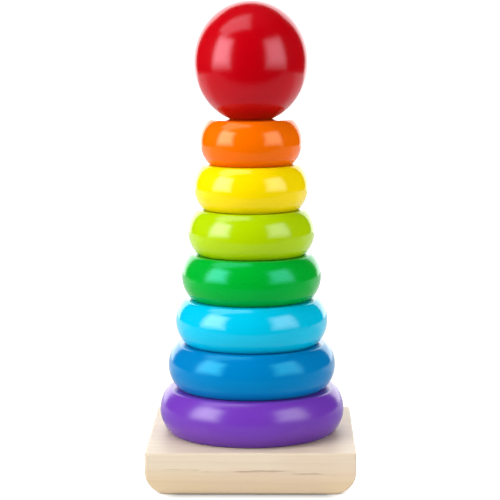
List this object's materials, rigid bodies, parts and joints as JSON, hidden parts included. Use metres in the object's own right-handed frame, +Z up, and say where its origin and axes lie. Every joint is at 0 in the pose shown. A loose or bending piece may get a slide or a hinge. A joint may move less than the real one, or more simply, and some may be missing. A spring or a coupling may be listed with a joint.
{
  "type": "ring stacking toy",
  "caption": "Wooden ring stacker: a square base with a centre post, painted rings that get smaller towards the top, and a ball that caps the post.",
  "frame": {"origin": "centre of the underside of the square base, on the axis of the post", "axes": "+Z up along the post, through the rings, to the ball; +X to the right along the grain of the base; -Y to the front"},
  "size_m": [0.118, 0.118, 0.273],
  "materials": {
    "base_wood": "bare sanded pale wood, grain from left to right",
    "post_wood": "bare sanded dowel, grain along its length",
    "enamel_purple": "smooth gloss enamel over wood",
    "enamel_blue": "smooth gloss enamel over wood",
    "enamel_light_blue": "smooth gloss enamel over wood",
    "enamel_green": "smooth gloss enamel over wood",
    "enamel_lime": "smooth gloss enamel over wood",
    "enamel_yellow": "smooth gloss enamel over wood",
    "enamel_orange": "smooth gloss enamel over wood",
    "enamel_red": "smooth gloss enamel over wood"
  },
  "bodies": {
    "root": {"base_board": "base_wood", "post": "post_wood"},
    "ring_purple": {"ring_purple": "enamel_purple"},
    "ring_blue": {"ring_blue": "enamel_blue"},
    "ring_light_blue": {"ring_light_blue": "enamel_light_blue"},
    "ring_green": {"ring_green": "enamel_green"},
    "ring_lime": {"ring_lime": "enamel_lime"},
    "ring_yellow": {"ring_yellow": "enamel_yellow"},
    "ring_orange": {"ring_orange": "enamel_orange"},
    "ball": {"ball": "enamel_red"}
  },
  "joints": [
    {"name": "lift_ring_purple", "type": "slide", "parent": "root", "child": "ring_purple", "axis": [0, 0, 1], "range_m": [0, 0.216]},
    {"name": "lift_ring_blue", "type": "slide", "parent": "ring_purple", "child": "ring_blue", "axis": [0, 0, 1], "range_m": [0, 0.19]},
    {"name": "lift_ring_light_blue", "type": "slide", "parent": "ring_blue", "child": "ring_light_blue", "axis": [0, 0, 1], "range_m": [0, 0.164]},
    {"name": "lift_ring_green", "type": "slide", "parent": "ring_light_blue", "child": "ring_green", "axis": [0, 0, 1], "range_m": [0, 0.138]},
    {"name": "lift_ring_lime", "type": "slide", "parent": "ring_green", "child": "ring_lime", "axis": [0, 0, 1], "range_m": [0, 0.112]},
    {"name": "lift_ring_yellow", "type": "slide", "parent": "ring_lime", "child": "ring_yellow", "axis": [0, 0, 1], "range_m": [0, 0.086]},
    {"name": "lift_ring_orange", "type": "slide", "parent": "ring_yellow", "child": "ring_orange", "axis": [0, 0, 1], "range_m": [0, 0.06]},
    {"name": "lift_ball", "type": "slide", "parent": "ring_orange", "child": "ball", "axis": [0, 0, 1], "range_m": [0, 0.035]}
  ]
}
